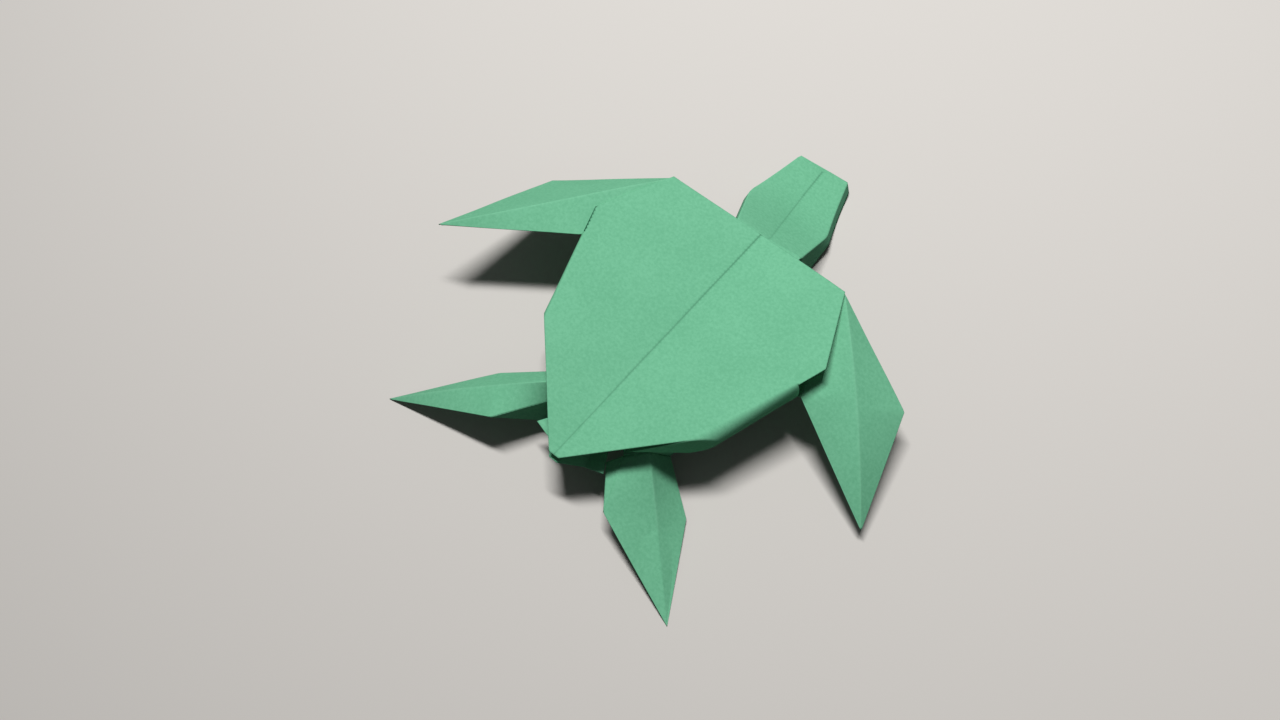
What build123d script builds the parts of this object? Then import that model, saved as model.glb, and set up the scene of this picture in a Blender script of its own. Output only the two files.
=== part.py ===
from build123d import *

import math
import os

# A sea turtle folded from one square of paper, standing on three flipper tips and its head.
# The folded sheet is one solid: flat facets that share their walls along every fold, with the
# pressed thickness of the layers measured upright. +Y runs from the tail to the head, +X is the
# turtle's right and +Z is up. At the end the turtle is moved so that the middle of its outline
# is at the origin and its lowest points are at zero height.

# The paper, pressed flat, and its upright thickness where a facet is steep
sheet = 0.24
steep_sheet = 0.6

# The shell, seen from above: each corner's distance out from the centre fold and ahead of the tail
shell_length = 70.0
rear_corner_out = 22.5
rear_corner_ahead = 23.3
side_corner_out = 31.5
side_corner_ahead = 50.1
shoulder_out = 23.7
shoulder_ahead = 68.1
tail_blunt = 2.6

# Heights of the centre fold above the floor, and how fast each half rises away from it
tail_height = 15.2
neck_height = 17.0
valley_slope_share = 0.12

# The sides roll under to the belly flaps, from the rear corner to the flipper's pit, and the
# other edges are hemmed, with each hem open by a share of its width
roll_depth = 6.0
roll_reach = 1.7
roll_bulge = 0.5
pit_from_side_corner = 6.7
hem_width = 6.0
hem_end = 1.0
tail_hem_width = 9.6
hem_opening_share = 0.18

# The belly flaps, which leave a seam under the centre fold
seam_half = 1.1
seam_bridge = 8.0
belly_rear_inner_ahead = 20.0
belly_rear_outer_out = 18.5
belly_rear_outer_ahead = 25.5
belly_front_ahead = 61.0
belly_front_out = 7.0
belly_joint_out = 20.0
belly_joint_ahead = 57.0

# The front flippers, which hang just under the shoulders
shoulder_gap = 0.7
right_front_reach = 50.2
right_front_heading = -46.6
left_front_reach = 53.9
left_front_heading = -125.8
left_front_tip_height = 19.5

# The rear flippers, from the ridge under the shell's edge to the tip
right_rear_root_out = 13.4
right_rear_root_ahead = 15.4
right_rear_root_gap = 5.5
left_rear_root_out = 10.3
left_rear_root_ahead = 14.5
left_rear_root_gap = 1.6
right_rear_reach = 35.2
right_rear_heading = -43.6
left_rear_reach = 41.9
left_rear_heading = -144.3

# Each flipper's corners as shares of its reach: along the straight line from root to tip,
# forward and outward from it, and up from it
right_front_elbow_shares = (0.514, 0.223, -0.018)
right_front_bend_shares = (0.319, 0.004, 0.098)
right_front_pit_shares = (0.44, -0.246, 0.169)
left_front_elbow_shares = (0.491, 0.187, -0.089)
left_front_bend_shares = (0.361, 0.003, 0.003)
left_front_pit_shares = (0.44, -0.19, 0.006)
right_rear_heel_shares = (0.286, -0.296, 0.036)
right_rear_bend_shares = (0.372, 0.006, -0.024)
right_rear_toe_shares = (0.406, 0.187, -0.183)
right_rear_inner_root_shares = (0.003, -0.195, -0.011)
right_rear_outer_root_shares = (0.024, 0.131, -0.178)
left_rear_heel_shares = (0.339, -0.19, 0.049)
left_rear_bend_shares = (0.335, -0.005, 0.058)
left_rear_toe_shares = (0.368, 0.098, -0.029)
left_rear_inner_root_shares = (0.008, -0.07, -0.038)
left_rear_outer_root_shares = (0.058, 0.11, -0.098)

# The paper tucked under the rear flippers' heels and under the tail
under_heel_out = 7.1
under_heel_ahead = 9.1
under_heel_height = 8.0
under_tail_ahead = 0.9
under_tail_height = 13.4
tuck_height = 9.0
tuck_inner_out = 4.6
tuck_inner_ahead = 5.0
tuck_outer_ahead = 6.4
right_tuck_out = 8.6
left_tuck_out = 10.0

# The head: a blunt six-sided hood, slightly hollow along its middle and rolled to its right, so
# that the wall under its right nose corner stands on the floor
neck_out = 1.6
neck_ahead = 71.2
neck_top_height = 15.0
head_length = 33.6
head_heading = 100.3
head_roll_share = 0.2
nose_top_height = 4.2
neck_half = 8.2
cheek_half = 10.4
cheek_along = 12.6
nose_half = 6.5
head_valley = 0.5
wall_depth = 3.1
wall_flare = 0.9
chin_depth = 3.4
chin_drop = 1.2


def rise(ahead):
    """Height of the centre fold at a distance ahead of the tail."""
    return tail_height + (neck_height - tail_height) * ahead / shell_length


def on_shell(out, ahead, below=0):
    """A point on the middle of the shell's sheet, or a distance under it."""
    return Vector(out, ahead, rise(ahead) + valley_slope_share * abs(out) - below)


def panel(*corners, depth=sheet):
    """One flat facet of the sheet; its top lies half a sheet above the corners."""
    low = [corner - Vector(0, 0, depth - sheet / 2) for corner in corners]
    spread(low, Vector(0, 0, 1), depth)


def spread(corners, direction, thickness):
    """The flat outline through the corners, thickened in one direction."""
    normal = (corners[1] - corners[0]).cross(corners[2] - corners[0])
    lie = Plane(origin=corners[0], x_dir=corners[1] - corners[0], z_dir=normal)
    flat = [lie.to_local_coords(corner) for corner in corners]
    with BuildSketch(lie) as facet:
        with BuildLine():
            Polyline(*[(point.X, point.Y) for point in flat], close=True)
        make_face()
    extrude(facet.sketch, amount=thickness, dir=direction)


def level(vector):
    """A vector's direction as seen from above."""
    return Vector(vector.X, vector.Y, 0).normalized()


def shell_corners(side):
    """The shell half's corners: tail, blunt tail corner, rear, side, shoulder and front."""
    return (on_shell(0, tail_blunt / 2), on_shell(side * tail_blunt / 2, tail_blunt / 2),
            on_shell(side * rear_corner_out, rear_corner_ahead),
            on_shell(side * side_corner_out, side_corner_ahead),
            on_shell(side * shoulder_out, shoulder_ahead), on_shell(0, shell_length))


def roll_line(side):
    """Where the flat shell turns into the roll: its end by the flipper's pit, and at the tail's edge."""
    tail, tail_corner, rear, flank, shoulder, front = shell_corners(side)
    back, tail_edge = level(rear - flank), level(rear - tail_corner)
    outward = back.cross(Vector(0, 0, 1)) * -side
    inset = roll_reach - roll_bulge
    pit = flank + (rear - flank).normalized() * pit_from_side_corner - outward * inset
    end = rear - tail_edge * (inset / tail_edge.dot(outward))
    return on_shell(pit.X, pit.Y), on_shell(end.X, end.Y), outward


def belly_corners(side):
    """The belly flap's corners: at the seam's rear end, outer rear, flipper joint, neck, seam's front end."""
    return [
        on_shell(side * seam_half, belly_rear_inner_ahead, roll_depth),
        on_shell(side * belly_rear_outer_out, belly_rear_outer_ahead, roll_depth),
        on_shell(side * belly_joint_out, belly_joint_ahead, roll_depth),
        on_shell(side * belly_front_out, belly_front_ahead, roll_depth),
        on_shell(side * seam_half, belly_front_ahead, roll_depth),
    ]


def roll(side):
    """The rolled side: half of an oval pipe along the straight edge, cut off along the tail's edge."""
    tail, tail_corner, rear, flank, shoulder, front = shell_corners(side)
    pit, end, outward = roll_line(side)
    run = end - pit
    middle = Vector(0, 0, roll_depth / 2)
    with BuildPart() as pipe:
        with BuildSketch(Plane(origin=pit - middle, x_dir=outward, z_dir=level(run))) as half_ring:
            with BuildLine():
                outer = EllipticalCenterArc((0, 0), roll_reach + sheet / 2, (roll_depth + sheet) / 2,
                                            start_angle=-90, arc_size=180)
                inner = EllipticalCenterArc((0, 0), roll_reach - sheet / 2, (roll_depth - sheet) / 2,
                                            start_angle=-90, arc_size=180)
                Line(outer @ 0, inner @ 0)
                Line(outer @ 1, inner @ 1)
            make_face()
        extrude(half_ring.sketch, amount=run.length + roll_depth, dir=run.normalized())
        ahead = level(rear - tail_corner).cross(Vector(0, 0, 1)) * -side
        split(bisect_by=Plane(origin=rear, x_dir=Vector(0, 0, 1), z_dir=ahead))
    return pipe.part


def hem(start, end, width_start, width_end, inner_start, inner_end):
    """Paper turned under along an edge: it leaves the shell at the edge and opens towards its free side."""
    inner = []
    for point, towards, width in ((start, inner_start, width_start), (end, inner_end, width_end)):
        free = point + (towards - point).normalized() * width
        off = (free - start) - (end - start).normalized() * (free - start).dot((end - start).normalized())
        inner.append(free - Vector(0, 0, off.length * hem_opening_share))
    panel(start, end, inner[1], inner[0])


def shell_half(side):
    """Half of the shell, with its rolled side, its hems and the belly flap under it."""
    tail, tail_corner, rear, flank, shoulder, front = shell_corners(side)
    pit_in, rear_in, outward = roll_line(side)
    pit_out = flank + (rear - flank).normalized() * pit_from_side_corner
    seam_rear, belly_outer, belly_joint, belly_neck, seam_front = belly_corners(side)
    down = Vector(0, 0, roll_depth)
    with BuildPart() as half:
        panel(tail, tail_corner, rear_in, pit_in, pit_out, flank, shoulder, front)
        add(roll(side))
        # The belly flap lies parallel to the shell, from the roll back to the seam
        panel(seam_rear, belly_outer, rear_in - down, pit_in - down, belly_joint, belly_neck, seam_front)
        tail_edge, front_edge = (rear_in - tail_corner).normalized(), (front - shoulder).normalized()
        hem(tail_corner + tail_edge * hem_end, rear_in - tail_edge * hem_end,
            tail_hem_width, hem_width, front, front)
        hem(shoulder + front_edge * hem_end, front - front_edge * hem_end, hem_width, hem_width, tail, tail)
    return half.part


class Flipper:
    """The straight line from a flipper's root to its tip, which its corners are measured from."""

    def __init__(self, side, root, reach, heading, tip_height):
        turn = math.radians(heading)
        dip = math.asin((root.Z - tip_height) / reach)
        self.root = root
        self.reach = reach
        self.along = Vector(math.cos(turn) * math.cos(dip), math.sin(turn) * math.cos(dip), -math.sin(dip))
        self.outward = Vector(0, 0, side).cross(self.along).normalized()
        self.up = self.along.cross(self.outward) * side
        self.tip = root + self.along * reach

    def corner(self, shares):
        """A corner from its shares of the reach: along the line, outward from it and up from it."""
        along, outward, up = shares
        return self.root + (self.along * along + self.outward * outward + self.up * up) * self.reach


def front_flipper(side, flipper, elbow, bend, pit):
    """A front flipper of four facets around its ridge's bend, and the gusset that carries it."""
    belly_joint = belly_corners(side)[2]
    belly_pit = roll_line(side)[0] - Vector(0, 0, roll_depth)
    shoulder, tip = flipper.root, flipper.tip
    with BuildPart() as folded:
        panel(shoulder, elbow, bend)
        panel(elbow, tip, bend)
        panel(tip, pit, bend)
        panel(pit, shoulder, bend)
        panel(shoulder, pit, belly_pit)
        panel(shoulder, belly_pit, belly_joint)
    return folded.part


def rear_flipper(side, flipper, heel, bend, toe, inner_root, outer_root):
    """A rear flipper, its root spread over the belly flap, and the paper under its heel."""
    root, tip = flipper.root, flipper.tip
    seam_rear, belly_outer = belly_corners(side)[:2]
    under_heel = Vector(side * under_heel_out, under_heel_ahead, under_heel_height)
    with BuildPart() as folded:
        panel(tip, heel, bend)
        panel(tip, toe, bend)
        panel(heel, inner_root, bend)
        panel(inner_root, root, bend)
        panel(toe, outer_root, bend)
        panel(outer_root, root, bend, depth=steep_sheet)
        panel(inner_root, root, seam_rear)
        panel(root, belly_outer, seam_rear)
        panel(root, outer_root, belly_outer, depth=steep_sheet)
        panel(heel, inner_root, under_heel, depth=steep_sheet)
    return folded.part


def tail_tucks():
    """The layers that show under the tail: a tongue along the seam and a pointed tuck on each side."""
    seams = [belly_corners(side)[0] for side in (1, -1)]
    bridge = [on_shell(side * seam_half, belly_rear_inner_ahead + seam_bridge, roll_depth) for side in (1, -1)]
    tails = [Vector(side * seam_half, under_tail_ahead, under_tail_height) for side in (1, -1)]
    with BuildPart() as tucks:
        panel(tails[0], tails[1], seams[1], seams[0])
        panel(seams[0], seams[1], bridge[1], bridge[0])
        for side, tuck_out, tail, seam in ((1, right_tuck_out, tails[0], seams[0]),
                                           (-1, left_tuck_out, tails[1], seams[1])):
            inner = Vector(side * tuck_inner_out, tuck_inner_ahead, tuck_height)
            point = Vector(side * tuck_out, tuck_outer_ahead, tuck_height)
            panel(tail, inner, seam)
            panel(inner, point, seam)
    return tucks.part


def head():
    """The hood of the head, the walls under its edges, its chin fold and its neck."""
    neck = Vector(neck_out, neck_ahead, neck_top_height)
    dip = math.asin((neck_top_height - nose_top_height) / head_length)
    turn = math.radians(head_heading)
    along = Vector(math.cos(turn) * math.cos(dip), math.sin(turn) * math.cos(dip), -math.sin(dip))
    right = along.cross(Vector(0, 0, 1)).normalized()
    up = right.cross(along)
    nose = neck + along * head_length
    seam_fronts = [belly_corners(side)[4] for side in (1, -1)]
    nose_corners = []
    with BuildPart() as hood:
        for side, seam_front in zip((1, -1), seam_fronts):
            neck_corner, cheek, nose_corner = [
                neck + along * distance + right * (side * half) + up * (head_valley * half / cheek_half)
                - Vector(0, 0, side * half * head_roll_share)
                for distance, half in ((0, neck_half), (cheek_along, cheek_half), (head_length, nose_half))
            ]
            panel(neck, nose, nose_corner, cheek, neck_corner)
            nose_corners.append(nose_corner)

            # The wall under the hood's edge, in four facets, flares out a little on its way down
            neck_foot, cheek_foot, nose_foot = [
                top + right * (side * wall_flare) - Vector(0, 0, wall_depth)
                for top in (neck_corner, cheek, nose_corner)
            ]
            for facet in ((nose_corner, cheek, cheek_foot), (nose_corner, cheek_foot, nose_foot),
                          (cheek, neck_corner, neck_foot), (cheek, neck_foot, cheek_foot)):
                spread(facet, right * -side, sheet)
            belly_neck = belly_corners(side)[3]
            panel(neck, neck_corner, belly_neck)
            panel(neck, belly_neck, seam_front)
        panel(neck, seam_fronts[0], seam_fronts[1])
        chin = up * -chin_drop - along * chin_depth
        panel(nose_corners[0], nose_corners[1], nose_corners[1] + chin, nose_corners[0] + chin)
    return hood.part


right_front = Flipper(1, on_shell(shoulder_out, shoulder_ahead, shoulder_gap),
                      right_front_reach, right_front_heading, sheet / 2)
left_front = Flipper(-1, on_shell(-shoulder_out, shoulder_ahead, shoulder_gap),
                     left_front_reach, left_front_heading, left_front_tip_height)
right_rear = Flipper(1, on_shell(right_rear_root_out, right_rear_root_ahead, right_rear_root_gap),
                     right_rear_reach, right_rear_heading, sheet / 2)
left_rear = Flipper(-1, on_shell(-left_rear_root_out, left_rear_root_ahead, left_rear_root_gap),
                    left_rear_reach, left_rear_heading, sheet / 2)

with BuildPart() as folding:
    add(shell_half(1))
    add(shell_half(-1))
    add(front_flipper(1, right_front, right_front.corner(right_front_elbow_shares),
                      right_front.corner(right_front_bend_shares),
                      right_front.corner(right_front_pit_shares)))
    add(front_flipper(-1, left_front, left_front.corner(left_front_elbow_shares),
                      left_front.corner(left_front_bend_shares),
                      left_front.corner(left_front_pit_shares)))
    add(rear_flipper(1, right_rear, right_rear.corner(right_rear_heel_shares),
                     right_rear.corner(right_rear_bend_shares), right_rear.corner(right_rear_toe_shares),
                     right_rear.corner(right_rear_inner_root_shares),
                     right_rear.corner(right_rear_outer_root_shares)))
    add(rear_flipper(-1, left_rear, left_rear.corner(left_rear_heel_shares),
                     left_rear.corner(left_rear_bend_shares), left_rear.corner(left_rear_toe_shares),
                     left_rear.corner(left_rear_inner_root_shares),
                     left_rear.corner(left_rear_outer_root_shares)))
    add(tail_tucks())
    add(head())

# The turtle stands over the origin, with its lowest points at zero height
box = folding.part.bounding_box()
with BuildPart() as folded_turtle:
    add(folding.part.moved(Location((-box.center().X, -box.center().Y, -box.min.Z))))
folded_turtle.part.label = "folded_turtle"
print("moved by", -box.center().X, -box.center().Y, -box.min.Z)

os.makedirs("parts", exist_ok=True)
export_step(folded_turtle.part, "parts/folded_turtle.step")
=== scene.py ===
# %% [markdown]
# A sea turtle folded from one square of green paper. The real thing is a single sheet, taken to be
# 150 mm on a side, creased by hand and pressed flat, so everything below is paper: broad flat
# facets, sharp folds, one soft roll along each side of the shell, and edges where two or three
# layers lie on each other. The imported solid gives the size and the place. This scene lays the
# same fold out again as a fine mesh, so that it can bend, crease and show its layers. Its facets
# were fitted to the photograph and not unfolded to a square, and its underside is a guess.

# %% The fixed frame
import math

import bmesh
import bpy
from mathutils import Matrix, Vector, noise
from mathutils.geometry import delaunay_2d_cdt


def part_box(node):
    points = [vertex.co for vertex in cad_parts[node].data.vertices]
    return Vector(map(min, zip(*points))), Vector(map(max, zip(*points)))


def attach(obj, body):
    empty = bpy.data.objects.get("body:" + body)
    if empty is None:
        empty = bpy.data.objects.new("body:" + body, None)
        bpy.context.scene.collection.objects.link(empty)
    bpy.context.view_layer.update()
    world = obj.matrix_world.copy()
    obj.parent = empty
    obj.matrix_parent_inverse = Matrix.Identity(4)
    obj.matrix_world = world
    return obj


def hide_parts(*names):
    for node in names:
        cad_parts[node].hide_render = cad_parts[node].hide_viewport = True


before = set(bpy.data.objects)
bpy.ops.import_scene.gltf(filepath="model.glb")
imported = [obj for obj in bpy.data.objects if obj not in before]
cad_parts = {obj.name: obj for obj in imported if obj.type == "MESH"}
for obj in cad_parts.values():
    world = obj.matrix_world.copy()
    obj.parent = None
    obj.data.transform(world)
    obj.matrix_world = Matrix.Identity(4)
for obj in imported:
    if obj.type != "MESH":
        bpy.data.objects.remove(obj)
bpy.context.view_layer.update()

MM = 0.001
node_low, node_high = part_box("folded_turtle")
print("frame box in mm:", [round(side / MM, 1) for side in node_high - node_low])

# %% [markdown]
# The fold is laid out in millimetres from the tail: the first number is the distance out to the
# turtle's right, the second is the distance ahead of the tail and the third is the height. A side
# is 1 for the turtle's right and -1 for its left. Each half of the shell is flat and rises away
# from the middle crease, so one formula gives every point on it.

# %% The shell's plan
SHELL_LENGTH = 70.0
TAIL_HEIGHT, NECK_HEIGHT = 15.2, 17.0
VALLEY_SLOPE = 0.12
TAIL_BLUNT = 2.6
REAR_CORNER = (22.5, 23.3)
SIDE_CORNER = (31.5, 50.1)
SHOULDER = (23.7, 68.1)


def on_shell(out, ahead, below=0.0):
    """A point on the shell, or a distance under it."""
    rise = TAIL_HEIGHT + (NECK_HEIGHT - TAIL_HEIGHT) * ahead / SHELL_LENGTH
    return Vector((out, ahead, rise + VALLEY_SLOPE * abs(out) - below))


def level(vector):
    """A vector's direction as seen from above."""
    return Vector((vector.x, vector.y, 0)).normalized()


print("side corner height:", round(on_shell(*SIDE_CORNER).z, 2), "mm")

# %% [markdown]
# Paper is modelled facet by facet. Blender could subdivide a rough cage, but that rounds every
# fold by the same large amount. Here each facet is an outline that is filled with points: evenly
# spaced ones in its middle, and close rows along its edges, so that a fold can be tight. A
# Delaunay triangulation joins them without thin slivers, which would catch the light as
# scratches. Two facets that share an edge divide it at the same points, so they join without a
# seam.

# %% Distances and outlines
POINT_GAP = 0.9


def spaced(a, b, count=0):
    """Even points from one corner to the next, both included."""
    count = count or max(1, round((b - a).length / POINT_GAP))
    return [a.lerp(b, k / count) for k in range(count + 1)]


def share_along(place, a, b):
    """How far along the stretch between two places a third one lies, from 0 to 1."""
    return min(1.0, max(0.0, (place - a).dot(b - a) / (b - a).length_squared))


def gap(place, a, b):
    """How far a place is from the stretch between two others."""
    return (place - a - (b - a) * share_along(place, a, b)).length


def within(place, edges):
    """Whether a flat place is inside an outline, by counting the edges to the right of it."""
    crossed = sum((a.y > place.y) != (b.y > place.y)
                  and place.x < a.x + (b.x - a.x) * (place.y - a.y) / (b.y - a.y)
                  for a, b in edges)
    return crossed % 2 == 1


print("a 10 mm edge is divided into", len(spaced(Vector((0, 0)), Vector((10, 0)))) - 1, "parts")

# %% How a facet is filled with points
CLOSE_ROWS = (0.12, 0.3, 0.6)
ROW_TOLERANCE = 0.98


def well_inside(place, edges, distance):
    """Whether a flat place is inside an outline and further than a distance from its edges."""
    return within(place, edges) and min(gap(place, *edge) for edge in edges) > distance


def filling(edges):
    """Points inside a flat outline: the close rows, then an even triangular pattern."""
    places = []
    for a, b in edges:
        along, count = (b - a).normalized(), max(1, round((b - a).length / POINT_GAP))
        for number, row in enumerate(CLOSE_ROWS):
            for k in range(count + 1):
                foot = a.lerp(b, min(1.0, (k + number % 2 / 2) / count))
                for way in (1, -1):
                    place = foot + Vector((-along.y, along.x)) * (row * way)
                    if well_inside(place, edges, row * ROW_TOLERANCE):
                        places.append(place)
    low = Vector((min(a.x for a, b in edges), min(a.y for a, b in edges)))
    high = Vector((max(a.x for a, b in edges), max(a.y for a, b in edges)))
    line_gap = POINT_GAP * math.sqrt(3) / 2
    for line in range(int((high.y - low.y) / line_gap) + 1):
        for k in range(int((high.x - low.x) / POINT_GAP) + 1):
            place = low + Vector(((k + line % 2 / 2) * POINT_GAP, line * line_gap))
            if well_inside(place, edges, CLOSE_ROWS[-1] + POINT_GAP / 2):
                places.append(place)
    return places


print("close rows at", CLOSE_ROWS, "mm, then a point every", POINT_GAP, "mm")

# %% One layer of paper
INSIDE_ONLY = 1
SAME_PLACE = 1e-6


class Sheet:
    """Points and faces of one layer of paper, with the folds that run through it."""

    def __init__(self):
        self.points, self.faces, self.folds = [], [], []

    def facet(self, *corners):
        """A flat facet with these corners."""
        base = corners[0]
        pairs = list(zip(corners, corners[1:] + corners[:1]))
        normal = sum(((a - base).cross(b - base) for a, b in pairs), Vector()).normalized()
        normal *= 1 if normal.z > 0 else -1
        x_way = (corners[1] - base).normalized()
        y_way = normal.cross(x_way)

        def flat(point):
            return Vector(((point - base).dot(x_way), (point - base).dot(y_way)))

        outline = [flat(point) for a, b in pairs for point in spaced(a, b)[:-1]]
        places = outline + filling([(flat(a), flat(b)) for a, b in pairs])
        places, _, faces, *_ = delaunay_2d_cdt(places, [], [tuple(range(len(outline)))],
                                               INSIDE_ONLY, SAME_PLACE)
        first = len(self.points)
        self.points += [base + x_way * place.x + y_way * place.y for place in places]
        self.faces += [tuple(first + k for k in face) for face in faces]

    def strip(self, lines):
        """Quads between lines of points with equal counts."""
        first, length = len(self.points), len(lines[0])
        for line in lines:
            self.points.extend(line)
        for n in range(len(lines) - 1):
            for k in range(length - 1):
                low = first + n * length + k
                self.faces.append((low, low + 1, low + 1 + length, low + length))

    def fold(self, kind, *points, strengths=(1.0, 1.0)):
        """Notes a ridge or a valley through the points, with its strength at each end; the material
        paints ridges paler and valleys with shade by these marks.
        """
        self.folds += [(kind, a, b, strengths) for a, b in zip(points, points[1:])]


trial = Sheet()
trial.facet(on_shell(0, 0), on_shell(10, 0), on_shell(0, 10))
print("points in a facet of half a square centimetre:", len(trial.points))

# %% [markdown]
# The shell's top is two flat halves that meet in a shallow valley. Along the straight side
# behind each front flipper the paper isn't creased: it rolls under to the belly flap, six
# millimetres lower. Half an oval is swept along the edge, narrow by the flipper and wider towards
# the tail, because the paper springs open where nothing holds it.

# %% The shell's outlines
ROLL_DEPTH, ROLL_BULGE = 6.0, 0.5
ROLL_REACHES = {1: (1.1, 2.2), -1: (0.9, 1.2)}
PIT_FROM_SIDE_CORNER = 6.7
SEAM_HALF = 1.1
BELLY_REAR_INNER_AHEAD = 20.0
BELLY_REAR_OUTER = (18.5, 25.5)
BELLY_JOINT = (20.0, 57.0)
BELLY_NECK = (7.0, 61.0)


def shell_corners(side):
    """Tail, blunt tail corner, rear, side, shoulder and front of one half."""
    half_blunt = TAIL_BLUNT / 2
    return [on_shell(side * out, ahead) for out, ahead in (
        (0, half_blunt), (half_blunt, half_blunt), REAR_CORNER, SIDE_CORNER, SHOULDER,
        (0, SHELL_LENGTH))]


def roll_line(side):
    """The ends of the line where the flat shell turns into the roll, and the way out from it."""
    _, tail_corner, rear, flank, _, _ = shell_corners(side)
    back, tail_edge = level(rear - flank), level(rear - tail_corner)
    outward = back.cross(Vector((0, 0, 1))) * -side
    pit_inset, end_inset = (reach - ROLL_BULGE for reach in ROLL_REACHES[side])
    pit = flank + (rear - flank).normalized() * PIT_FROM_SIDE_CORNER - outward * pit_inset
    end = rear - tail_edge * (end_inset / tail_edge.dot(outward))
    return on_shell(pit.x, pit.y), on_shell(end.x, end.y), outward


def belly_corners(side):
    """The belly flap's corners: seam rear, outer rear, flipper joint, neck and seam front."""
    places = ((SEAM_HALF, BELLY_REAR_INNER_AHEAD), BELLY_REAR_OUTER, BELLY_JOINT, BELLY_NECK,
              (SEAM_HALF, BELLY_NECK[1]))
    return [on_shell(side * out, ahead, ROLL_DEPTH) for out, ahead in places]


print("roll line:", [tuple(round(v, 1) for v in point) for point in roll_line(1)[:2]])

# %% The shell's two halves
ROLL_STEPS = 20
END_FLAP, END_FLAP_DROP = 12.0, 1.5
# Strengths of the painted shade in the middle crease, front to tail, and in the slot by the left
# flipper
CREASE_SHADE_STRENGTHS, SLOT_SHADE_STRENGTHS = (1.0, 0.5), (4.0, 2.0)


def shell_half(sheet, side):
    """One half of the shell: the flat top, the roll and the belly flap."""
    tail, tail_corner, rear, flank, shoulder, front = shell_corners(side)
    pit, end, outward = roll_line(side)
    edge_pit = flank + (rear - flank).normalized() * PIT_FROM_SIDE_CORNER
    sheet.facet(tail, tail_corner, end, pit, edge_pit, flank, shoulder, front)
    # The middle crease is painted as a dark line of shade, fainter towards the tail
    sheet.fold("valley", front, tail, strengths=CREASE_SHADE_STRENGTHS)
    if side < 0:
        # The raised left flipper leaves a slot along this edge, painted as a dark line of shade
        sheet.fold("valley", edge_pit, flank, strengths=SLOT_SHADE_STRENGTHS)

    # Each line of the roll ends in the upright plane of the tail's edge
    run = (end - pit).normalized()
    across_tail = level(rear - tail_corner).cross(Vector((0, 0, 1)))
    count = len(spaced(pit, end)) - 1
    lines = []
    for step in range(ROLL_STEPS + 1):
        turn = math.pi * step / ROLL_STEPS
        sink = Vector((0, 0, ROLL_DEPTH / 2 * (1 - math.cos(turn))))
        off_pit, off_end = (outward * (reach * math.sin(turn)) - sink
                            for reach in ROLL_REACHES[side])
        slip = -off_end.dot(across_tail) / run.dot(across_tail)
        lines.append(spaced(pit + off_pit, end + off_end + run * slip, count))
    sheet.strip(lines)

    # A turned-in flap closes the roll's rear end, under the tail's edge
    inward = end + (tail_corner - end).normalized() * END_FLAP - Vector((0, 0, END_FLAP_DROP))
    sheet.facet(*[line[-1] for line in lines], inward)

    low = Vector((0, 0, ROLL_DEPTH))
    seam_rear, belly_outer, joint, neck, seam_front = belly_corners(side)
    sheet.facet(seam_rear, belly_outer, end - low, pit - low, joint, neck, seam_front)


shell = Sheet()
for side in (1, -1):
    shell_half(shell, side)
print("shell faces:", len(shell.faces))

# %% [markdown]
# Along the edges by the tail and by the neck a narrow hem of paper is turned under the shell. A
# bevel could thicken the edge, but a real second layer, which springs open a little towards its
# free side, also keeps the thin shadow under it.

# %% The hems
HEM_OPENING, HEM_END, HEM_WIDTH, TAIL_HEM_WIDTH = 0.18, 1.0, 6.0, 9.6


def hem(sheet, start, end, start_width, end_width, towards):
    """Paper turned under along an edge, opening towards its free side."""
    along = (end - start).normalized()
    start, end = start + along * HEM_END, end - along * HEM_END
    inner = []
    for point, width in ((start, start_width), (end, end_width)):
        free = point + (towards - point).normalized() * width
        off = (free - start) - along * (free - start).dot(along)
        inner.append(free - Vector((0, 0, off.length * HEM_OPENING)))
    sheet.facet(start, end, inner[1])
    sheet.facet(start, inner[1], inner[0])


hems = Sheet()
for side in (1, -1):
    tail, tail_corner, _, _, shoulder, front = shell_corners(side)
    hem(hems, tail_corner, roll_line(side)[1], TAIL_HEM_WIDTH, HEM_WIDTH, front)
    hem(hems, shoulder, front, HEM_WIDTH, HEM_WIDTH, tail)
print("hem faces:", len(hems.faces))

# %% [markdown]
# A flipper is a long kite of paper with a ridge from its root to its tip. The fold isn't straight:
# handling bends it, and each side of the kite then curves with it, as paper can, along straight
# rulings from the ridge to the edge. So each side is made of such rulings, and the light fades
# evenly towards the tip. Its corners are given as shares of its reach along, outward from and
# above the straight line between root and tip, which is how a folder sees it: a share belongs to
# the crease pattern, while the reach and the heading belong to how it was posed.

# %% A flipper's straight line
SHEET_THICKNESS, TABLE_CLEARANCE = 0.2, 0.02
FLOOR_GAP = SHEET_THICKNESS / 2 + TABLE_CLEARANCE


def pointing(heading, dip):
    """The direction at a heading seen from above, tilted down by a dip, both in radians."""
    return Vector((math.cos(heading) * math.cos(dip), math.sin(heading) * math.cos(dip),
                   -math.sin(dip)))


class Flipper:
    """The straight line from a flipper's root to its tip, which its corners are measured from."""

    def __init__(self, side, root, reach, heading, tip_height):
        self.side, self.root, self.reach = side, root, reach
        self.along = pointing(math.radians(heading), math.asin((root.z - tip_height) / reach))
        self.outward = Vector((0, 0, side)).cross(self.along).normalized()
        self.up = self.along.cross(self.outward) * side
        self.tip = root + self.along * reach

    def corner(self, along, outward, up):
        """A corner from its shares of the reach, kept above the table."""
        shares = self.along * along + self.outward * outward + self.up * up
        point = self.root + shares * self.reach
        return Vector((point.x, point.y, max(point.z, FLOOR_GAP)))


print("the lowest paper lies", round(FLOOR_GAP, 2), "mm above the table")

# %% A flipper's curved sides and its lining
RULINGS, RIDGE_EVERY = 70, 5
RULING_SHARES = (0.0, 0.01, 0.03, 0.07, 0.14, 0.24, 0.36, 0.5, 0.64, 0.76, 0.86, 0.93, 0.97, 0.99,
                 1.0)
LAYER_GAP, LAYER_INSET = 0.34, 0.5


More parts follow.
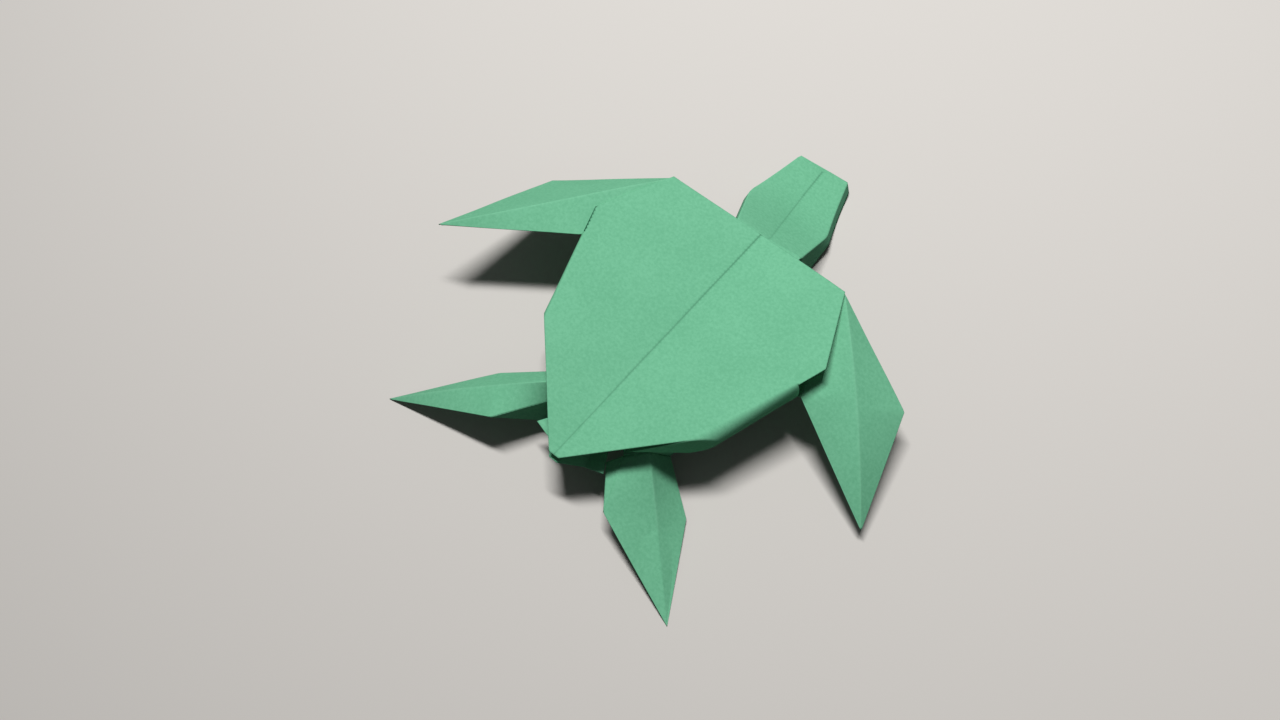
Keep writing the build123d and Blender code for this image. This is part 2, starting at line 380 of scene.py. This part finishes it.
def flipper_side(sheet, ridge, outline):
    """One side of a flipper: rulings from the curved ridge to an edge with one corner."""
    root, bend, tip = ridge
    start, corner, end = outline
    turn = (bend - root).length / ((bend - root).length + (tip - bend).length)
    pull = (bend - root * (1 - turn) ** 2 - tip * turn ** 2) / (2 * turn * (1 - turn))
    kink = (corner - start).length / ((corner - start).length + (end - corner).length)
    shares = [k / RULINGS for k in range(RULINGS + 1)]
    fold = [root * (1 - t) ** 2 + pull * (2 * t * (1 - t)) + tip * t ** 2 for t in shares]
    edge = [start.lerp(corner, t / kink) if t < kink
            else corner.lerp(end, (t - kink) / (1 - kink)) for t in shares]
    sheet.strip([[a.lerp(b, share) for a, b in zip(fold, edge)] for share in RULING_SHARES])
    sheet.fold("ridge", *fold[::RIDGE_EVERY])


def under_layer(points):
    """The same corners for the layer underneath, drawn in a little and lower."""
    centre = sum(points, Vector()) / len(points)
    drawn_in = [point + (centre - point).normalized() * LAYER_INSET for point in points]
    return [Vector((point.x, point.y, max(point.z - LAYER_GAP, FLOOR_GAP))) for point in drawn_in]


print("layers lie", LAYER_GAP, "mm apart")

# %% The front flippers
FRONT_ROOT_BELOW = 0.7
right_front = Flipper(1, on_shell(SHOULDER[0], SHOULDER[1], FRONT_ROOT_BELOW),
                      reach=50.1, heading=-47.7, tip_height=4.0)
left_front = Flipper(-1, on_shell(-SHOULDER[0], SHOULDER[1], FRONT_ROOT_BELOW),
                     reach=53.8, heading=-125.6, tip_height=19.8)
# Elbow, bend of the ridge and pit, each as shares along, outward and up
FRONT_SHARES = {
    right_front: ((0.514, 0.221, -0.018), (0.467, 0.006, 0.062), (0.445, -0.223, 0.044)),
    left_front: ((0.479, 0.263, -0.2), (0.535, -0.017, 0.028), (0.44, -0.181, -0.008)),
}
flippers, linings = Sheet(), Sheet()
for flipper, shares in FRONT_SHARES.items():
    elbow, bend, pit = (flipper.corner(*share) for share in shares)
    kite = (flipper.root, bend, flipper.tip, elbow, pit)
    for sheet, (a, b, c, d, e) in ((flippers, kite), (linings, under_layer(kite))):
        flipper_side(sheet, (a, b, c), (a, d, c))
        flipper_side(sheet, (a, b, c), (a, e, c))

    # The gusset carries the flipper's inner edge to the belly flap
    belly_pit = roll_line(flipper.side)[0] - Vector((0, 0, ROLL_DEPTH))
    flippers.facet(flipper.root, pit, belly_pit)
    flippers.facet(flipper.root, belly_pit, belly_corners(flipper.side)[2])
print("front flipper faces:", len(flippers.faces) + len(linings.faces))

# %% The rear flippers
right_rear = Flipper(1, on_shell(13.4, 15.4, 5.5), reach=35.2, heading=-43.6, tip_height=FLOOR_GAP)
left_rear = Flipper(-1, on_shell(-10.3, 14.5, 1.6), reach=41.9, heading=-144.3,
                    tip_height=FLOOR_GAP)
# Heel, bend of the ridge, toe, inner root and outer root, each as shares along, outward and up
REAR_SHARES = {
    right_rear: ((0.322, -0.3, -0.024), (0.372, 0.008, -0.066), (0.406, 0.188, -0.186),
                 (0.006, -0.148, -0.051), (0.022, 0.133, -0.209)),
    left_rear: ((0.339, -0.19, 0.049), (0.33, -0.01, 0.04), (0.381, 0.11, -0.05),
                (0.039, -0.038, -0.098), (0.075, 0.128, -0.13)),
}
# The corner of the paper that is turned in under each heel
UNDER_HEELS = {right_rear: Vector((7.1, 9.1, 8.0)), left_rear: Vector((-9.0, 11.3, 2.5))}
for flipper, shares in REAR_SHARES.items():
    heel, bend, toe, inner_root, outer_root = (flipper.corner(*share) for share in shares)
    root, tip = flipper.root, flipper.tip
    seam_rear, belly_outer = belly_corners(flipper.side)[:2]
    flipper_side(flippers, (root, bend, tip), (inner_root, heel, tip))
    flipper_side(flippers, (root, bend, tip), (outer_root, toe, tip))
    flippers.facet(inner_root, root, seam_rear)
    flippers.facet(root, belly_outer, seam_rear)
    flippers.facet(root, outer_root, belly_outer)
    flippers.facet(heel, inner_root, UNDER_HEELS[flipper])
    low_heel, low_bend, low_toe, low_tip = under_layer((heel, bend, toe, tip))
    linings.facet(low_tip, low_heel, low_bend)
    linings.facet(low_tip, low_toe, low_bend)
print("flipper faces:", len(flippers.faces) + len(linings.faces))

# %% [markdown]
# Under the tail a few layers show in the shadow: a tongue along the belly's seam, whose end just
# catches the light, and a small pointed tuck on each side of it. Little of them is seen, so flat
# facets at the right height are enough.

# %% The tucks under the tail
TONGUE_AHEAD, TONGUE_HEIGHT = 0.9, 13.4
SEAM_BRIDGE = 8.0
TUCK_HEIGHT = 9.0
TUCK_INNER = (4.6, 5.0)
TUCK_OUTER_AHEAD = 6.4
TUCK_OUTS = {1: 8.6, -1: 10.0}
tucks = Sheet()
seams = {side: belly_corners(side)[0] for side in (1, -1)}
tails = {side: Vector((side * SEAM_HALF, TONGUE_AHEAD, TONGUE_HEIGHT)) for side in (1, -1)}
bridges = {side: on_shell(side * SEAM_HALF, BELLY_REAR_INNER_AHEAD + SEAM_BRIDGE, ROLL_DEPTH)
           for side in (1, -1)}
for rear_ends, front_ends in ((tails, seams), (seams, bridges)):
    tucks.facet(rear_ends[1], rear_ends[-1], front_ends[-1], front_ends[1])
for side, tuck_out in TUCK_OUTS.items():
    inner = Vector((side * TUCK_INNER[0], TUCK_INNER[1], TUCK_HEIGHT))
    point = Vector((side * tuck_out, TUCK_OUTER_AHEAD, TUCK_HEIGHT))
    tucks.facet(tails[side], inner, seams[side])
    tucks.facet(inner, point, seams[side])
print("tuck faces:", len(tucks.faces))

# %% [markdown]
# The head is a blunt hood, slightly hollow along its middle crease and rolled to the turtle's
# right. It is first laid out straight from the neck to the nose. Its nose and cheek are fingertip
# folds rather than ruled ones, so those corners are rounded.

# %% The head's own directions
NECK = Vector((1.6, 71.2, 15.0))
HEAD_LENGTH, HEAD_HEADING, NOSE_HEIGHT = 34.0, 100.3, 4.2
head_dip = math.asin((NECK.z - NOSE_HEIGHT) / HEAD_LENGTH)
head_along = pointing(math.radians(HEAD_HEADING), head_dip)
head_right = head_along.cross(Vector((0, 0, 1))).normalized()
head_up = head_right.cross(head_along)
nose = NECK + head_along * HEAD_LENGTH
print("nose height:", round(nose.z, 2), "mm")

# %% The hood's outline
HEAD_ROLL, HEAD_VALLEY = 0.2, 0.5
NECK_HALF, CHEEK_HALF, NOSE_HALF = 8.2, 10.4, 6.5
CHEEK_ALONG = 12.6
CORNER_CUTS = {1: (0.5, 1.6), -1: (1.2, 2.0)}
ROUNDING_STEPS = 4


def head_corners(side):
    """The neck corner, the cheek and the nose corner of one half of the hood."""
    return [NECK + head_along * along + head_right * (side * half)
            + head_up * (HEAD_VALLEY * half / CHEEK_HALF) - Vector((0, 0, side * half * HEAD_ROLL))
            for along, half in ((0, NECK_HALF), (CHEEK_ALONG, CHEEK_HALF),
                                (HEAD_LENGTH, NOSE_HALF))]


def rounded(corners, cuts):
    """An open outline with rounded corners; a cut is how far a rounding reaches from its corner."""
    outline = []
    for k, (corner, cut) in enumerate(zip(corners, cuts)):
        if not cut:
            outline.append(corner)
            continue
        start = corner + (corners[k - 1] - corner).normalized() * cut
        end = corner + (corners[k + 1] - corner).normalized() * cut
        for step in range(ROUNDING_STEPS + 1):
            share = step / ROUNDING_STEPS
            outline.append(start.lerp(corner, share).lerp(corner.lerp(end, share), share))
    return outline


def hood_outline(side):
    """The neck, the nose and the edge of one half of the hood, back to the neck."""
    neck_corner, cheek, nose_corner = head_corners(side)
    return rounded((NECK, nose, nose_corner, cheek, neck_corner), (0, 0, *CORNER_CUTS[side], 0))


print("points on half the hood's outline:", len(hood_outline(1)))

# %% [markdown]
# The paper turns down along the hood's sides as a low wall, which flares a little. At the right of
# the neck this wall gets deeper and goes down to the table. To judge by its shading, the real hood
# isn't straight from neck to nose: it drops steeply behind the neck and comes level towards the
# nose. A lattice could bend it, but one formula is enough: the straight head is let down in its
# middle, along the camera's line of sight, which keeps its outline in the picture.

# %% The walls and the sag
WALL_DEPTH, WALL_FLARE = 2.9, 0.9
NECK_WALL_DEPTH, NECK_WALL_TUCK = 9.0, 0.5
WALL_ROWS = (0.0, 0.04, 0.12, 0.28, 0.52, 0.76, 1.0)
SAG_WAY = Vector((0.344, -0.405, 1.0))
HEAD_SAG = 4.2


def hang_wall(sheet, edge, side):
    """A wall that hangs from the hood's edge, from the rounded nose corner back to the neck."""
    top = [point for a, b in zip(edge, edge[1:]) for point in spaced(a, b)[:-1]] + [edge[-1]]
    drops = []
    for point in top:
        ahead = (point - NECK).dot(head_along) / CHEEK_ALONG
        behind = max(0.0, 1 - ahead) if side > 0 else 0.0
        drops.append(head_right * (side * (WALL_FLARE - NECK_WALL_TUCK * behind))
                     - Vector((0, 0, WALL_DEPTH + NECK_WALL_DEPTH * behind)))
    sheet.strip([[point + drop * row for point, drop in zip(top, drops)] for row in WALL_ROWS])


def sagged(point):
    """A point of the head, let down steeply behind the neck and brought level towards the nose."""
    share = min(1.0, max(0.0, (point - NECK).dot(head_along) / HEAD_LENGTH))
    moved = point - SAG_WAY * (HEAD_SAG * math.sin(math.pi * share))
    return Vector((moved.x, moved.y, max(moved.z, FLOOR_GAP)))


print("the middle of the head is let down by", HEAD_SAG, "mm")

# %% The head
CHIN_DEPTH, CHIN_DROP = 3.4, 1.2
HEAD_CREASE_PIECES, HEAD_CREASE_SHADE, HEAD_CREASE_SHADE_FADE = 12, 0.9, 0.05
head = Sheet()
for side in (1, -1):
    outline = hood_outline(side)
    head.facet(*outline)
    hang_wall(head, outline[2:], side)
    neck_joint, seam_front = belly_corners(side)[3:]
    head.facet(NECK, outline[-1], neck_joint)
    head.facet(NECK, neck_joint, seam_front)

# The middle crease is painted as a dark line of shade, fainter from the nose to the neck
crease = spaced(nose, NECK, HEAD_CREASE_PIECES)
for k, ends in enumerate(zip(crease, crease[1:])):
    head.fold("valley", *ends, strengths=[HEAD_CREASE_SHADE - HEAD_CREASE_SHADE_FADE * n
                                          for n in (k, k + 1)])
head.facet(NECK, belly_corners(1)[4], belly_corners(-1)[4])
chin = head_up * -CHIN_DROP - head_along * CHIN_DEPTH
right_nose, left_nose = (head_corners(side)[2] for side in (1, -1))
head.facet(right_nose, left_nose, left_nose + chin, right_nose + chin)
head.points = [sagged(point) for point in head.points]
head.folds = [(kind, sagged(a), sagged(b), strengths) for kind, a, b, strengths in head.folds]
print("lowest point of the head:", round(min(point.z for point in head.points), 2), "mm")

# %% [markdown]
# Folded paper is never quite flat: handling leaves long, shallow waves of a few tenths of a
# millimetre. The same waves move every layer, so that layers stay apart, and they fade out near
# the table, where the tips stand. Blender's noise fills space and is always the same, so a slice
# through it at one height gives the waves, and a slice at another gives the finer ripples. Each
# point also keeps how near it lies to a ridge or a valley, for the material, which paints a paler
# line on ridges and a line of shade in valleys.

# %% Waves, and the way into the frame
WAVE_LENGTH, WAVE_HEIGHT, WAVE_SLICE = 19.0, 0.3, 3.0
RIPPLE_LENGTH, RIPPLE_HEIGHT, RIPPLE_SLICE = 7.0, 0.06, 40.0
GROUNDED = 3.0
FOLD_MIDDLE = Vector((0.202, 47.808, 0.0))
node_middle = (node_low + node_high) / 2


def waved(point):
    """A point of the fold moved by the paper's waves."""
    settle = min(1.0, max(0.0, point.z / GROUNDED))
    wave = noise.noise(Vector((point.x, point.y, WAVE_SLICE)) / WAVE_LENGTH) * WAVE_HEIGHT
    ripple = noise.noise(Vector((point.x, point.y, RIPPLE_SLICE)) / RIPPLE_LENGTH) * RIPPLE_HEIGHT
    return point + Vector((0, 0, (wave + ripple) * settle))


def in_frame(point):
    """From the fold's millimetres to the frame's metres."""
    return Vector(((point.x - FOLD_MIDDLE.x) * MM + node_middle.x,
                   (point.y - FOLD_MIDDLE.y) * MM + node_middle.y, point.z * MM))


print("the fold's middle in mm:", round(FOLD_MIDDLE.x, 2), round(FOLD_MIDDLE.y, 2))

# %% [markdown]
# Each layer becomes a mesh. Points of facets that meet are joined, those nearest to a fold are
# smoothed a little, because paper has no knife edge, and Solidify gives the layer its thickness.
# A cloth simulation could fold a flat sheet instead, but it would need the whole crease pattern,
# which one photograph doesn't give.

# %% From a sheet to a mesh
# How far each fold's mark reaches, in mm: it sets the painted ridge highlight and valley shade, and
# where the paper is smoothed
FOLD_REACH = {"ridge": 0.3, "valley": 0.14}
JOINED_WITHIN = 5e-3
SMOOTHED_FROM, SMOOTHING_ROUNDS = 0.3, 3


def folded_mesh(sheet):
    """A sheet's points and faces with their marks, joined up and with the folds rounded."""
    mesh = bmesh.new()
    marks = {kind: mesh.verts.layers.float.new(kind) for kind in FOLD_REACH}
    for point in sheet.points:
        vert = mesh.verts.new(in_frame(waved(point)))
        for kind, a, b, (start, end) in sheet.folds:
            strength = start + (end - start) * share_along(point, a, b)
            near = math.exp(-(gap(point, a, b) / FOLD_REACH[kind]) ** 2) * strength
            vert[marks[kind]] = max(vert[marks[kind]], near)
    mesh.verts.ensure_lookup_table()
    for face in sheet.faces:
        mesh.faces.new([mesh.verts[k] for k in face])
    bmesh.ops.remove_doubles(mesh, verts=mesh.verts, dist=JOINED_WITHIN * MM)
    tight = [vert for vert in mesh.verts
             if vert[marks["ridge"]] + vert[marks["valley"]] > SMOOTHED_FROM
             and not vert.is_boundary]
    for _ in range(SMOOTHING_ROUNDS):
        bmesh.ops.smooth_vert(mesh, verts=tight, factor=0.5,
                              use_axis_x=True, use_axis_y=True, use_axis_z=True)
    bmesh.ops.recalc_face_normals(mesh, faces=mesh.faces)
    return mesh


print("points nearer than", JOINED_WITHIN, "mm are joined")

# %% One mesh for the whole sheet
def folded_object(name, sheet):
    """One object from one sheet, with its thickness added."""
    data = bpy.data.meshes.new(name)
    mesh = folded_mesh(sheet)
    mesh.to_mesh(data)
    mesh.free()
    piece = bpy.data.objects.new(name, data)
    bpy.context.scene.collection.objects.link(piece)
    thick = piece.modifiers.new("thickness", "SOLIDIFY")
    thick.thickness, thick.offset = SHEET_THICKNESS * MM, 0.0
    thickened = piece.evaluated_get(bpy.context.evaluated_depsgraph_get())
    piece.data = bpy.data.meshes.new_from_object(thickened)
    piece.modifiers.clear()
    for face in piece.data.polygons:
        face.use_smooth = True
    return piece


SHEETS = {"shell": shell, "hems": hems, "flippers": flippers, "linings": linings,
          "tucks": tucks, "head": head}
pieces = [folded_object(name, sheet) for name, sheet in SHEETS.items()]
paper = pieces[0]
with bpy.context.temp_override(active_object=paper, object=paper, selected_objects=pieces,
                               selected_editable_objects=pieces):
    bpy.ops.object.join()
paper.name = paper.data.name = "folded_paper"
print("paper triangles:", sum(len(face.vertices) - 2 for face in paper.data.polygons))

# %% [markdown]
# The paper is ordinary coloured craft paper: wood pulp dyed through, not coated. It gives a dull,
# even green with no gloss, a fine mottle where fibres take the dye unevenly and a slight tooth. On
# ridges the colour is painted paler, partly dye rubbed off the fold and partly a painted highlight
# where the rounded fold catches the light, and valleys get a dark line of painted shade. Noise with
# its sizes in millimetres draws the mottle and the tooth, so they keep their scale on every facet.

# %% Colours and the node helper
def linear(code):
    """An sRGB hex colour as the linear values that Blender uses."""
    values = [int(code[k:k + 2], 16) / 255 for k in (1, 3, 5)]
    return [v / 12.92 if v <= 0.04045 else ((v + 0.055) / 1.055) ** 2.4 for v in values] + [1.0]


def add_node(tree, kind, settings=(), **inputs):
    """Adds a node, sets its properties, then sets or links its inputs by name or number."""
    node = tree.nodes.new(kind)
    for name, value in dict(settings).items():
        setattr(node, name, value)
    for name, value in inputs.items():
        socket = node.inputs[int(name[1:]) if name.startswith("_") else name.replace("_", " ")]
        if isinstance(value, bpy.types.NodeSocket):
            tree.links.new(value, socket)
        else:
            socket.default_value = value
    return node


# Paper greens; the ridge colour is partly rubbed dye and partly painted highlight, the valley
# colour is painted shade
PAPER_GREEN, DEEP_GREEN, RIDGE_RUB_AND_HIGHLIGHT_GREEN, VALLEY_PAINTED_SHADE_GREEN = "#78c39b", "#6db890", "#8fd0ac", "#17583c"
print("paper green in linear values:", [round(v, 3) for v in linear(PAPER_GREEN)[:3]])

# %% The craft paper
# Pulp fibres are a few hundredths of a millimetre wide, too fine to show, so the tooth and the
# mottle are drawn ten to twenty times as coarse. The cloud is the uneven dye of a whole sheet.
# Each has a size in mm, a detail and a roughness.
MOTTLE, FIBRE, CLOUD = (0.7, 3.0, 0.6), (0.35, 2.0, 0.7), (14.0, 2.0, 0.5)
MOTTLE_SHARE, CLOUD_SHARE = 0.72, 0.28
DYE_LOW, DYE_HIGH = 0.38, 0.62
TOOTH_HEIGHT, TOOTH_STRENGTH = 0.05, 0.35
RIDGE_RUB_AND_HIGHLIGHT, VALLEY_SHADE = 0.15, 0.55


def craft_paper(name):
    """Uncoated green craft paper with mottled dye, ridges painted paler by rubbed dye and a painted
    highlight, and valleys painted with shade.
    """
    material = bpy.data.materials.new(name)
    material.use_nodes = True
    tree = material.node_tree
    tree.nodes.clear()
    place = add_node(tree, "ShaderNodeTexCoord").outputs["Object"]
    mottle, fibre, cloud = (
        add_node(tree, "ShaderNodeTexNoise", Vector=place, Scale=1 / (size * MM), Detail=detail,
                 Roughness=roughness).outputs["Fac"]
        for size, detail, roughness in (MOTTLE, FIBRE, CLOUD))
    dye = add_node(tree, "ShaderNodeMath", {"operation": "MULTIPLY"}, _0=mottle, _1=MOTTLE_SHARE)
    dye = add_node(tree, "ShaderNodeMath", {"operation": "MULTIPLY_ADD"}, _0=cloud,
                   _1=CLOUD_SHARE, _2=dye.outputs[0])
    spread = add_node(tree, "ShaderNodeMapRange", _0=dye.outputs[0], _1=DYE_LOW, _2=DYE_HIGH)
    colour = add_node(tree, "ShaderNodeMix", {"data_type": "RGBA"}, _0=spread.outputs[0],
                      _6=linear(DEEP_GREEN), _7=linear(PAPER_GREEN)).outputs[2]
    # Ridges are painted paler, partly dye rubbed off the fold and partly a painted highlight;
    # valleys get a dark line of painted shade
    for mark, strength, shade in (("ridge", RIDGE_RUB_AND_HIGHLIGHT, RIDGE_RUB_AND_HIGHLIGHT_GREEN),
                                  ("valley", VALLEY_SHADE, VALLEY_PAINTED_SHADE_GREEN)):
        near = add_node(tree, "ShaderNodeAttribute", {"attribute_name": mark}).outputs["Fac"]
        amount = add_node(tree, "ShaderNodeMath", {"operation": "MULTIPLY"}, _0=near, _1=strength)
        colour = add_node(tree, "ShaderNodeMix", {"data_type": "RGBA"}, _0=amount.outputs[0],
                          _6=colour, _7=linear(shade)).outputs[2]
    tooth = add_node(tree, "ShaderNodeBump", Strength=TOOTH_STRENGTH,
                     Distance=TOOTH_HEIGHT * MM, Height=fibre)
    shader = add_node(tree, "ShaderNodeBsdfPrincipled", Base_Color=colour, Roughness=0.85, IOR=1.45,
                      Normal=tooth.outputs[0], Specular_IOR_Level=0.25)
    add_node(tree, "ShaderNodeOutputMaterial", Surface=shader.outputs[0])
    return material


paper.data.materials.clear()
paper.data.materials.append(craft_paper("uncoated_craft_paper"))
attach(paper, "root")
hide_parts("folded_turtle")
print("materials:", [slot.name for slot in paper.material_slots])

# %% [markdown]
# The floor is a plain pale table top of laminate, pressed smooth with a dull film, so it is even
# and has almost no gloss. The camera sees it pale, but the light that it gives back to the turtle
# is darker and slightly green. A real table doesn't do that. It is a simple way to keep the
# turtle's underside as deep as in the photograph.

# %% Floor
FLOOR_SIDE = 6.0
FLOOR_COLOUR, FLOOR_GIVES_BACK = "#d4d0cb", "#56655b"
bpy.ops.mesh.primitive_plane_add(size=FLOOR_SIDE, location=(0, 0, 0))
floor = bpy.context.object
floor.name = "floor"
table = bpy.data.materials.new("pale_table_laminate")
table.use_nodes = True
surface = table.node_tree.nodes["Principled BSDF"]
surface.inputs["Roughness"].default_value = 0.7
surface.inputs["Specular IOR Level"].default_value = 0.2
seen = add_node(table.node_tree, "ShaderNodeLightPath")
shown = seen.outputs["Is Camera Ray"]
for ray in ("Is Glossy Ray", "Is Transmission Ray"):
    shown = add_node(table.node_tree, "ShaderNodeMath", {"operation": "MAXIMUM"}, _0=shown,
                     _1=seen.outputs[ray]).outputs[0]
top = add_node(table.node_tree, "ShaderNodeMix", {"data_type": "RGBA"}, _0=shown,
               _6=linear(FLOOR_GIVES_BACK), _7=linear(FLOOR_COLOUR))
table.node_tree.links.new(top.outputs[2], surface.inputs["Base Color"])
floor.data.materials.append(table)
print("floor:", FLOOR_SIDE, "m wide,", FLOOR_COLOUR)

# %% [markdown]
# The light is one long lamp, 75 cm from the turtle and almost straight above it, and a dim sky
# that keeps the shadows from going black. The lamp is long across the picture and narrow along
# it, which leaves shadow edges sharp one way and soft the other. Its face is tilted towards the
# head, so the table is a little darker by the tail.

# %% Lights
LAMP_WAY = Vector((-0.12, 0.135, 0.983)).normalized()
LAMP_OVER = Vector((-30.0, 10.0, 10.0))
LAMP_DISTANCE, LAMP_POWER = 0.75, 7.7
LAMP_AXIS = Vector((-0.2, -1.0, 1.2)).normalized()
LAMP_LENGTH_WAY = Vector((0.763, 0.647, 0.0))
LAMP_SIZE = (0.31, 0.09)
SKY_COLOUR, SKY_STRENGTH = "#f4f6f8", 0.06
lamp_data = bpy.data.lights.new("long_lamp", "AREA")
lamp_data.shape, lamp_data.energy = "RECTANGLE", LAMP_POWER
lamp_data.size, lamp_data.size_y = LAMP_SIZE
lamp = bpy.data.objects.new("long_lamp", lamp_data)
lamp.location = in_frame(LAMP_OVER) + LAMP_WAY * LAMP_DISTANCE
lamp_x = (LAMP_LENGTH_WAY - LAMP_AXIS * LAMP_LENGTH_WAY.dot(LAMP_AXIS)).normalized()
lamp_turn = Matrix((lamp_x, LAMP_AXIS.cross(lamp_x), LAMP_AXIS)).transposed()
lamp.rotation_mode = "QUATERNION"
lamp.rotation_quaternion = lamp_turn.to_quaternion()
bpy.context.scene.collection.objects.link(lamp)
world = bpy.data.worlds.new("dim_sky")
world.use_nodes = True
sky = world.node_tree.nodes["Background"]
sky.inputs["Color"].default_value = linear(SKY_COLOUR)
sky.inputs["Strength"].default_value = SKY_STRENGTH
bpy.context.scene.world = world
print("lamp at", [round(v, 2) for v in lamp.location], "m")

# %% [markdown]
# The camera looks down steeply over the turtle's right rear flipper, as in the photograph. Its
# view was worked out from the shell's symmetry and the flipper tips on the table, so it is given as
# an azimuth, an elevation and a distance in mm from a point on the table.

# %% Camera
AZIMUTH, ELEVATION = math.radians(40.2906), math.radians(62.0214)
CAMERA_DISTANCE = 249.753
AIM = Vector((-5.9343, 35.2836, 0.0))
FOCAL_PIXELS, PICTURE_WIDTH = 1100.23, 1280
back = Vector((math.sin(AZIMUTH) * math.cos(ELEVATION), -math.cos(AZIMUTH) * math.cos(ELEVATION),
               math.sin(ELEVATION)))
camera_data = bpy.data.cameras.new("camera")
camera_data.sensor_fit, camera_data.sensor_width = "HORIZONTAL", 36.0
camera_data.lens = camera_data.sensor_width * FOCAL_PIXELS / PICTURE_WIDTH
camera_data.clip_start, camera_data.clip_end = 0.01, 20.0
camera = bpy.data.objects.new("camera", camera_data)
camera.location = in_frame(AIM + back * CAMERA_DISTANCE)
camera.rotation_mode = "QUATERNION"
camera.rotation_quaternion = back.to_track_quat("Z", "Y")
bpy.context.scene.collection.objects.link(camera)
bpy.context.scene.camera = camera
bpy.context.scene.view_settings.view_transform = "Standard"
print("lens:", round(camera_data.lens, 2), "mm")
